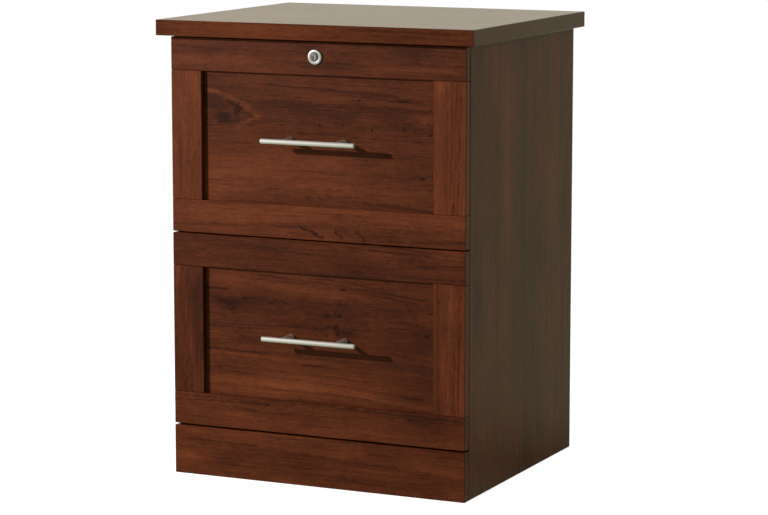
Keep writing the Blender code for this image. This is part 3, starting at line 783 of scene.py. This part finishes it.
def metal(name, tone, rough, brush):
    """A plated metal with fine brush lines; brush gives how fast they vary along X, Y and Z."""
    finish = Finish(name)
    cloud = finish.noise(finish.x * 40.0, finish.y * 40.0, finish.z * 40.0, detail=3.0)
    lines = finish.noise(finish.x * brush[0], finish.y * brush[1], finish.z * brush[2], detail=3.0)
    dark = tuple(DARKER * channel for channel in tone)
    light = tuple(LIGHTER * channel for channel in tone)
    colour = finish.ramp(0.5 + 0.8 * lines + 0.5 * cloud, ((0.2, dark), (0.8, light)))
    finish.wear(colour, rough + BRUSH_MARKS * (cloud + lines), lines, BRUSH_RELIEF)
    finish.surface.inputs["Metallic"].default_value = 1.0
    return finish


nickel = metal("satin_nickel", (0.37, 0.36, 0.36), 0.72, (25.0, 2600.0, 2600.0))
post_nickel = metal("satin_nickel_posts", (0.50, 0.485, 0.475), 0.55, (2600.0, 25.0, 2600.0))
zinc = metal("bright_zinc", (0.53, 0.51, 0.58), 0.36, (900.0, 60.0, 900.0))
ring_nickel = metal("satin_nickel_lock", (0.30, 0.287, 0.305), 0.44, (1400.0, 60.0, 1400.0))
shutter_nickel = metal("polished_nickel", (0.60, 0.575, 0.61), 0.24, (1400.0, 60.0, 1400.0))
# Painted shade: the plug is nickel painted near black to stand for the dark inside of the lock.
plug_nickel_painted_shade = metal("dark_plug_painted_shade", (0.075, 0.070, 0.070), 0.34, (1400.0, 60.0, 1400.0))
for node in nodes:
    if node in ("lock_nut", "lock_cam", "lock_cam_screw") or "_pull_screw_" in node:
        dress(node, zinc)
print("6 metals")

# %% [markdown]
# ## Turned pieces
#
# Pull bars, posts, lock and screws are all round, so they are made as on a lathe: a profile of radius
# and height points goes round an axis. A cylinder with a bevel would give the bar, but not the hollow
# taper of a post or the dish of the lock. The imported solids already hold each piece's place and size,
# and the new piece stands for the plainer solid there.

# %% Lathe
SMOOTH_ANGLE = math.radians(32)
BACKWARD, FORWARD = Vector((0, 1, 0)), Vector((0, -1, 0))
RIGHTWARD, UPWARD = Vector((1, 0, 0)), Vector((0, 0, 1))


def placed(at, axis):
    """The place of a piece whose own Z points along an axis."""
    return Matrix.Translation(at) @ axis.to_track_quat("Z", "Y").to_matrix().to_4x4()


def turn(bm, profile, at, axis, segments=48, ring=False):
    """Turns (radius, height) points about an axis. Radius zero closes an end; a ring closes on itself."""
    place = placed(at, axis)
    loops = []
    for radius, height in profile:
        count = segments if radius > 0 else 1
        angles = [2 * math.pi * i / count for i in range(count)]
        points = [Vector((radius * math.cos(a), radius * math.sin(a), height)) for a in angles]
        loops.append([bm.verts.new(place @ point) for point in points])
    for low, high in zip(loops, loops[1:] + loops[:1] if ring else loops[1:]):
        for i in range(segments):
            j = i + 1
            around = (low[i % len(low)], low[j % len(low)], high[j % len(high)], high[i % len(high)])
            corners = list(dict.fromkeys(around))
            if len(corners) > 2:
                bm.faces.new(corners)


def arc(radius, height, bend, start, end, steps=4):
    """Profile points on a bend about a (radius, height) centre, between two angles in degrees."""
    turns = [math.radians(start + (end - start) * i / steps) for i in range(steps + 1)]
    return [(radius + bend * math.cos(a), height + bend * math.sin(a)) for a in turns]


print("lathe ready")


# %% Mesh and piece helpers
MERGE_DISTANCE = 1e-7


def clean_mesh(name, bm):
    """A mesh from drawn faces, with shared points joined and every face turned outwards."""
    bmesh.ops.remove_doubles(bm, verts=bm.verts, dist=MERGE_DISTANCE)
    bmesh.ops.recalc_face_normals(bm, faces=bm.faces)
    mesh = bpy.data.meshes.new(name)
    bm.to_mesh(mesh)
    bm.free()
    return mesh


def carved(mesh, cutters):
    """The mesh with the cutters' shapes taken out of it."""
    blank = new_object("blank", mesh)
    tool = new_object("tool", clean_mesh("cutters", cutters))
    cut = blank.modifiers.new("cut", "BOOLEAN")
    cut.solver = "EXACT"
    cut.object = tool
    result = bpy.data.meshes.new_from_object(blank.evaluated_get(bpy.context.evaluated_depsgraph_get()))
    for obj in (blank, tool):
        leftover = obj.data
        bpy.data.objects.remove(obj)
        bpy.data.meshes.remove(leftover)
    return result


def closed_mesh(name, bm, cutters=None):
    """A finished mesh from drawn faces, with smooth rounds and sharp edges."""
    mesh = clean_mesh(name, bm)
    if cutters is not None:
        mesh = carved(mesh, cutters)
        mesh.name = name
    mesh.shade_smooth()
    mesh.set_sharp_from_angle(angle=SMOOTH_ANGLE)
    return mesh


def add_piece(name, mesh, finish, slot, body, *stands_for):
    """Puts a new piece on a body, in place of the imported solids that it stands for."""
    mesh.materials.clear()
    mesh.materials.append(finish.material)
    piece = new_object(name, mesh)
    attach(piece, body)
    if stands_for:
        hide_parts(*stands_for)
    return piece


print("piece helpers ready")

# %% Pull bars and posts
BAR_ROUND = 0.0007
POST_FOOT_ROUND = 0.0004
POST_TIP_RADIUS = 0.0035
POST_STEPS = 12
POST_CURVE = 1.7


def pull_bar(drawer):
    """A round bar with softened ends."""
    low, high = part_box(f"{drawer}_pull_bar")
    middle, half, radius = (low + high) / 2, (high.x - low.x) / 2, (high.z - low.z) / 2
    end = arc(radius - BAR_ROUND, half - BAR_ROUND, BAR_ROUND, 0, 90)
    start = [(r, -h) for r, h in reversed(end)]
    bm = bmesh.new()
    turn(bm, [(0.0, -half), *start, *end, (0.0, half)], middle, RIGHTWARD, 64)
    mesh = closed_mesh(f"{drawer}_bar", bm)
    add_piece(mesh.name, mesh, nickel, "satin_steel", f"{drawer}_drawer", f"{drawer}_pull_bar")


def pull_post(drawer, side):
    """A post that widens a little from the bar to its foot on the panel, in a shallow hollow curve."""
    node = f"{drawer}_pull_post_{side}"
    low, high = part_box(node)
    foot = (high.x - low.x) / 2
    bar_low, bar_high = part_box(f"{drawer}_pull_bar")
    reach = high.y - (bar_low.y + bar_high.y) / 2
    at = Vector(((low.x + high.x) / 2, high.y, (low.z + high.z) / 2))
    hollow = []
    for i in range(POST_STEPS + 1):
        run = i / POST_STEPS
        radius = POST_TIP_RADIUS + (foot - POST_TIP_RADIUS) * (1 - run) ** POST_CURVE
        hollow.append((radius, POST_FOOT_ROUND + run * (reach - POST_FOOT_ROUND)))
    bm = bmesh.new()
    turn(bm, [(0.0, 0.0), (foot - POST_FOOT_ROUND, 0.0), *hollow, (0.0, reach)], at, FORWARD)
    mesh = closed_mesh(f"{drawer}_{side}_post", bm)
    add_piece(mesh.name, mesh, post_nickel, "satin_steel", f"{drawer}_drawer", node)


for drawer in DRAWERS:
    pull_bar(drawer)
    for side in SIDES:
        pull_post(drawer, side)
print("2 bars on 4 posts")

# %% [markdown]
# ## The lock
#
# The housing's flange is a satin ring: a dome that falls to its rim, with a dish inside. The dome is
# lit on the left and the dish on the right, which is how a small lock is read from far away. The plug
# sits at the foot of the dish. A dark stripe could stand for the keyway, but a slot that is cut is
# right from every side. The plug turns on its own body, so the slot turns with it. The polished shutter
# behind it has a round front that catches one upright streak of light.


# %% Outline helpers
def draw_out(bm, outline, start, end, axis="y"):
    """Draws a closed outline out along an axis. Its points are on the other two, in the order X, Y, Z."""
    place = "xyz".index(axis)
    loops = []
    for at in (start, end):
        loops.append([bm.verts.new((*point[:place], at, *point[place:])) for point in outline])
    count = len(outline)
    for i in range(count):
        j = (i + 1) % count
        bm.faces.new((loops[0][i], loops[0][j], loops[1][j], loops[1][i]))
    bm.faces.new(loops[0])
    bm.faces.new(loops[1])


def rounded_outline(middle, half_width, half_height, bend):
    """A rectangle about a middle point with round corners; the widest bend makes it a slot or circle."""
    corners = ((1, 1, 0), (-1, 1, 90), (-1, -1, 180), (1, -1, 270))
    points = []
    for right, up, start in corners:
        points += arc(right * (half_width - bend), up * (half_height - bend), bend, start, start + 90, 4)
    return [(middle[0] + across, middle[1] + up) for across, up in points]


print("outline helpers ready")

# %% Lock ring
PLUG_DROP = 0.0016
PLUG_CLEARANCE = 0.0003
DISH_EDGE = 0.0003
DISH_WIDTH = 0.0022
CREST_ROUND = 0.0009
DOME_DROP = 0.0017
FLANGE_LIP = 0.0027

low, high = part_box("lock_housing")
plug_low, plug_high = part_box("lock_plug")
flange = (high.x - low.x) / 2
bore = (plug_high.x - plug_low.x) / 2 + PLUG_CLEARANCE
depth = high.y - low.y
face = Vector(((low.x + high.x) / 2, low.y, (low.z + high.z) / 2))
flange_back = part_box("upper_front_top_rail")[0].y - low.y
barrel = flange - FLANGE_LIP
crest = bore + DISH_EDGE + DISH_WIDTH + CREST_ROUND / 2
dome = [
    (crest + (flange - crest) * out, -DOME_DROP * (1 - level)) for level, out in arc(0, 0, 1, 0, 90, 8)
]
housing = bmesh.new()
turn(
    housing,
    [
        (bore, -depth),
        (bore, -PLUG_DROP - DISH_EDGE),
        (bore + DISH_EDGE, -PLUG_DROP),
        *arc(crest, -CREST_ROUND, CREST_ROUND, 124, 102, 2),
        *dome,
        (flange, -flange_back),
        (barrel, -flange_back),
        (barrel, -depth),
    ],
    face, FORWARD, 64, ring=True,
)
mesh = closed_mesh("lock_ring", housing)
add_piece("lock_ring", mesh, ring_nickel, "lock_metal", "upper_drawer", "lock_housing")
print(f"lock ring {2000 * flange:.1f} mm across")

# %% Lock plug and shutter
PLUG_ROUND = 0.0004
PLUG_TAIL = 0.0030
KEYWAY = Vector((0.0026, 0.0090, 0.008))
KEYWAY_BEND = 0.0003
SHUTTER_DROP = 0.0002
SHUTTER_INSET = 0.0002

plug_radius = bore - PLUG_CLEARANCE
plug = bmesh.new()
plug_front = arc(plug_radius - PLUG_ROUND, -PLUG_DROP - PLUG_ROUND, PLUG_ROUND, 90, 0, 3)
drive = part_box("lock_cam")[1].y - low.y
tail = [(PLUG_TAIL, -depth), (PLUG_TAIL, -drive), (0.0, -drive)]
turn(plug, [(0.0, -PLUG_DROP), *plug_front, (plug_radius, -depth), *tail], face, FORWARD, 64)
slot_cutter = bmesh.new()
keyway = rounded_outline(face.xz, KEYWAY.x / 2, KEYWAY.y / 2, KEYWAY_BEND)
draw_out(slot_cutter, keyway, face.y, face.y + PLUG_DROP + KEYWAY.z)
mesh = closed_mesh("lock_core", plug, slot_cutter)
# The plug wears the near-black nickel, which is painted shade for the dark inside of the lock.
add_piece("lock_core", mesh, plug_nickel_painted_shade, "lock_metal", "lock_plug", "lock_plug")

shutter = bmesh.new()
half_width, half_height = KEYWAY.x / 2 - SHUTTER_INSET, KEYWAY.y / 2 - SHUTTER_INSET
front = face.y + PLUG_DROP + SHUTTER_DROP
back = face.y + PLUG_DROP + KEYWAY.z
middle = (face.x, (front + back) / 2)
shutter_outline = rounded_outline(middle, half_width, (back - front) / 2, half_width)
draw_out(shutter, shutter_outline, face.z - half_height, face.z + half_height, "z")
add_piece("lock_shutter", closed_mesh("lock_shutter", shutter), shutter_nickel, "lock_metal", "lock_plug")
print(f"lock core of {len(mesh.polygons)} faces, {2000 * plug_radius:.1f} mm across")

# %% [markdown]
# ## Telescopic slides
#
# Each slide is three steel channels, rolled from sheet, one inside the other: one on the cabinet, one
# on the drawer and one between that goes half as far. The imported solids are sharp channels. A rolled
# one has round bends, and holes for its screws are punched in its web. So a rounded outline is drawn
# out along Y, and the holes are cut.

# %% Section of a channel
GAUGE = 0.0012
BEND = 0.0026
BEND_STEPS = 5


def channel_outline(web, lip, middle, half):
    """A C section in X and Z from its web to its lips, with round bends."""
    way = 1 if lip > web else -1
    width = abs(lip - web)
    points = [
        (width, -half),
        *arc(BEND, BEND - half, BEND, 270, 180, BEND_STEPS),
        *arc(BEND, half - BEND, BEND, 180, 90, BEND_STEPS),
        (width, half),
        (width, half - GAUGE),
        *arc(BEND, half - BEND, BEND - GAUGE, 90, 180, BEND_STEPS),
        *arc(BEND, BEND - half, BEND - GAUGE, 180, 270, BEND_STEPS),
        (width, GAUGE - half),
    ]
    return [(web + way * out, middle + up) for out, up in points]


print(f"channels of {1000 * GAUGE} mm sheet")

# %% Slide channels
HOLE_RADIUS = 0.0023
SLOT_LENGTH = 0.011
HOLES_AT = {
    "cabinet": ((0.072, False), (0.128, True), (0.232, False), (0.296, True), (0.384, False)),
    "middle": ((0.024, False), (0.110, True), (0.200, True), (0.290, True), (0.376, False)),
    "drawer": (
        (0.016, False), (0.088, True), (0.128, False), (0.232, True), (0.296, False), (0.384, False),
    ),
}


def channel(drawer, member, side):
    """One member of a slide, with its punched holes and slots."""
    node = f"{drawer}_slide_{member}_member_{side}"
    low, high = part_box(node)
    outer, inner = (high.x, low.x) if side == "right" else (low.x, high.x)
    web, lip = (inner, outer) if member == "drawer" else (outer, inner)
    middle = (low.z + high.z) / 2
    bm = bmesh.new()
    draw_out(bm, channel_outline(web, lip, middle, (high.z - low.z) / 2), low.y, high.y)
    punches = bmesh.new()
    for along, slotted in HOLES_AT[member]:
        half_length = HOLE_RADIUS + (SLOT_LENGTH / 2 if slotted else 0.0)
        outline = rounded_outline((low.y + along, middle), half_length, HOLE_RADIUS, HOLE_RADIUS)
        draw_out(punches, outline, web - 2 * GAUGE, web + 2 * GAUGE, "x")
    mesh = closed_mesh(f"{drawer}_{side}_{member}_channel", bm, punches)
    bodies = {"cabinet": "cabinet", "middle": f"{drawer}_slide_middle", "drawer": f"{drawer}_drawer"}
    return add_piece(mesh.name, mesh, zinc, "zinc_steel", bodies[member], node)


for drawer in DRAWERS:
    for side in SIDES:
        for member in HOLES_AT:
            made = channel(drawer, member, side)
            print(f"{made.name}: {len(made.data.polygons)} faces")

# %% [markdown]
# ## Balls between the channels
#
# Steel balls run between the flanges of the channels, held apart by a thin cage. Each ball could be a
# piece, but it never leaves its cage, so the cages of one slide are one piece. They ride on the middle
# channel: those towards the cabinet near its rear end and those towards the drawer near its front end,
# so that they stay between two channels however far the drawer is out.

# %% Ball cages
BALL_RADIUS = 0.0015
BALL_PITCH = 0.010
CAGE_LENGTH = 0.150
CAGE_HALF_WIDTH = 0.0026
CAGE_HALF_THICKNESS = 0.0004
CAGE_BEND = 0.0003
CAGE_INSET = 0.012


def ball_cages(drawer, side):
    """Four cages of balls round the middle channel of one slide."""
    boxes = {member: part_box(f"{drawer}_slide_{member}_member_{side}") for member in HOLES_AT}
    halves = {member: (high.z - low.z) / 2 for member, (low, high) in boxes.items()}
    low, high = boxes["middle"]
    middle = (low + high) / 2
    rows = (
        (halves["cabinet"] - GAUGE + halves["middle"], high.y - CAGE_INSET - CAGE_LENGTH),
        (halves["middle"] - GAUGE + halves["drawer"], low.y + CAGE_INSET),
    )
    bm = bmesh.new()
    for spread, start in rows:
        for up in (-1, 1):
            at = Vector((middle.x, start, middle.z + up * spread / 2))
            strip = rounded_outline(at.xz, CAGE_HALF_WIDTH, CAGE_HALF_THICKNESS, CAGE_BEND)
            draw_out(bm, strip, start, start + CAGE_LENGTH)
            for i in range(int(CAGE_LENGTH / BALL_PITCH)):
                ball = Matrix.Translation(at + Vector((0, (i + 0.5) * BALL_PITCH, 0)))
                bmesh.ops.create_icosphere(bm, subdivisions=2, radius=BALL_RADIUS, matrix=ball)
    mesh = closed_mesh(f"{drawer}_{side}_ball_cages", bm)
    add_piece(mesh.name, mesh, zinc, "zinc_steel", f"{drawer}_slide_middle")


for drawer in DRAWERS:
    for side in SIDES:
        ball_cages(drawer, side)
print("16 ball cages in 4 pieces")

# %% [markdown]
# ## Folder bars
#
# The flat bars that hold hanging folders stand on edge in notches. Rolled flat bar has softened edges
# that catch the light, so each bar is a rounded outline drawn out along Y.

# %% Folder bars
FOLDER_BAR_BEND = 0.0009

for drawer in DRAWERS:
    for side in SIDES:
        node = f"{drawer}_file_bar_{side}"
        low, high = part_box(node)
        middle, half = (low + high) / 2, (high - low) / 2
        bm = bmesh.new()
        draw_out(bm, rounded_outline(middle.xz, half.x, half.z, FOLDER_BAR_BEND), low.y, high.y)
        mesh = closed_mesh(f"{drawer}_{side}_folder_bar", bm)
        add_piece(mesh.name, mesh, zinc, "zinc_steel", f"{drawer}_drawer", node)
print("4 folder bars")

# %% [markdown]
# ## Screws and nails
#
# The drawer's channels and fronts are fixed with pan-head screws, the box corners with countersunk
# ones, and the back is nailed on. A head is turned once, its cross is cut once, and copies of that mesh
# are stamped where they belong. The screws of one board are one piece.

# %% Screw heads
Head = namedtuple("Head", "radius height sink cross_depth", defaults=(0.0,))
PAN = Head(0.0038, 0.0021, 0.0002, 0.0012)
FLAT = Head(0.0037, 0.0003, 0.0012, 0.0011)
NAIL = Head(0.0024, 0.0007, 0.0003)
HEAD_TAPER = 0.94
CROSS_LENGTH, CROSS_WIDTH = 0.0042, 0.0009


def cross_outline(length, width):
    """A plus sign about the origin, as an outline."""
    far, near = length / 2, width / 2
    arm = ((far, -near), (far, near), (near, near))
    return [
        (turn_x * u - turn_y * v, turn_y * u + turn_x * v)
        for turn_x, turn_y in ((1, 0), (0, 1), (-1, 0), (0, -1))
        for u, v in arm
    ]


def head_mesh(name, head):
    """A domed head that stands on the floor of its own frame, sunk a little, with any cross cut in it."""
    foot = [(0.0, -head.sink), (HEAD_TAPER * head.radius, -head.sink), (head.radius, 0.0)]
    dome = [(head.radius * out, head.height * up) for out, up in arc(0, 0, 1, 5, 73)]
    bm = bmesh.new()
    turn(bm, [*foot, *dome, (0.0, head.height)], Vector(), UPWARD, 32)
    cutters = None
    if head.cross_depth:
        cutters = bmesh.new()
        cross = cross_outline(CROSS_LENGTH, CROSS_WIDTH)
        draw_out(cutters, cross, head.height - head.cross_depth, head.height + head.cross_depth, "z")
    return closed_mesh(name, bm, cutters)


pan_head = head_mesh("pan_head", PAN)
flat_head = head_mesh("flat_head", FLAT)
nail_head = head_mesh("nail_head", NAIL)
print(f"heads of {len(pan_head.polygons)}, {len(flat_head.polygons)} and {len(nail_head.polygons)} faces")


# %% Stamped copies
def stamped(name, pattern, places, axis, body):
    """One piece with a head at each place."""
    bm = bmesh.new()
    for at in places:
        before = len(bm.verts)
        bm.from_mesh(pattern)
        bm.verts.ensure_lookup_table()
        bmesh.ops.transform(bm, matrix=placed(Vector(at), axis), verts=bm.verts[before:])
    mesh = bpy.data.meshes.new(name)
    bm.to_mesh(mesh)
    bm.free()
    mesh.set_sharp_from_angle(angle=SMOOTH_ANGLE)
    add_piece(name, mesh, zinc, "zinc_steel", body)


print("stamp ready")

# %% Screws of the slides and boxes
CHANNEL_SCREWS_AT = (0.040, 0.168, 0.352)
CORNER_INSET = 0.006
CORNER_END, CORNER_MIDDLE = 0.035, 0.130
FRONT_SCREW_OUT = 0.150
FRONT_SCREW_RISE, FRONT_SCREW_DROP = 0.060, 0.050


def channel_screws(drawer, member, side, pattern, body):
    """The screws of one channel, on the inside of its web, with their heads turned to its lips."""
    low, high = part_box(f"{drawer}_slide_{member}_member_{side}")
    out = SIDES[side] if member == "drawer" else -SIDES[side]
    web = (low.x if out > 0 else high.x) + out * GAUGE
    places = [(web, low.y + along, (low.z + high.z) / 2) for along in CHANNEL_SCREWS_AT]
    stamped(f"{drawer}_{side}_{member}_channel_screws", pattern, places, out * RIGHTWARD, body)


def corner_screws(drawer, side, body):
    """The screws through one side of a box into the ends of its front and back."""
    low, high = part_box(f"{drawer}_box_{side}_side")
    out = SIDES[side]
    outer = high.x if out > 0 else low.x
    heights = (low.z + CORNER_END, low.z + CORNER_MIDDLE, high.z - CORNER_END)
    places = [(outer, y, z) for y in (low.y + CORNER_INSET, high.y - CORNER_INSET) for z in heights]
    stamped(f"{drawer}_{side}_box_screws", flat_head, places, out * RIGHTWARD, body)


def front_screws(drawer, body):
    """The screws through the front of a box into the framed front."""
    low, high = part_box(f"{drawer}_box_front")
    heights = (low.z + FRONT_SCREW_RISE, high.z - FRONT_SCREW_DROP)
    places = [(x, high.y, z) for x in (-FRONT_SCREW_OUT, FRONT_SCREW_OUT) for z in heights]
    stamped(f"{drawer}_front_screws", pan_head, places, BACKWARD, body)


for drawer in DRAWERS:
    body = f"{drawer}_drawer"
    for side in SIDES:
        channel_screws(drawer, "drawer", side, pan_head, body)
        channel_screws(drawer, "cabinet", side, flat_head, "cabinet")
        corner_screws(drawer, side, body)
    front_screws(drawer, body)
print("14 sets of screws")

# %% Nails of the back
NAIL_INSET = 0.004
NAIL_PITCH = 0.12


def spread(start, end, pitch):
    """Even places from start to end, about a pitch apart."""
    count = max(1, round((end - start) / pitch))
    return [start + (end - start) * i / count for i in range(count + 1)]


low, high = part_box("back_panel")
columns = spread(low.x + NAIL_INSET, high.x - NAIL_INSET, NAIL_PITCH)
rows = spread(low.z + NAIL_INSET, high.z - NAIL_INSET, NAIL_PITCH)
nails = [(x, high.y, z) for x in columns for z in (rows[0], rows[-1])]
nails += [(x, high.y, z) for x in (columns[0], columns[-1]) for z in rows[1:-1]]
stamped("back_nails", nail_head, nails, BACKWARD, "cabinet")
print(f"{len(nails)} nails")
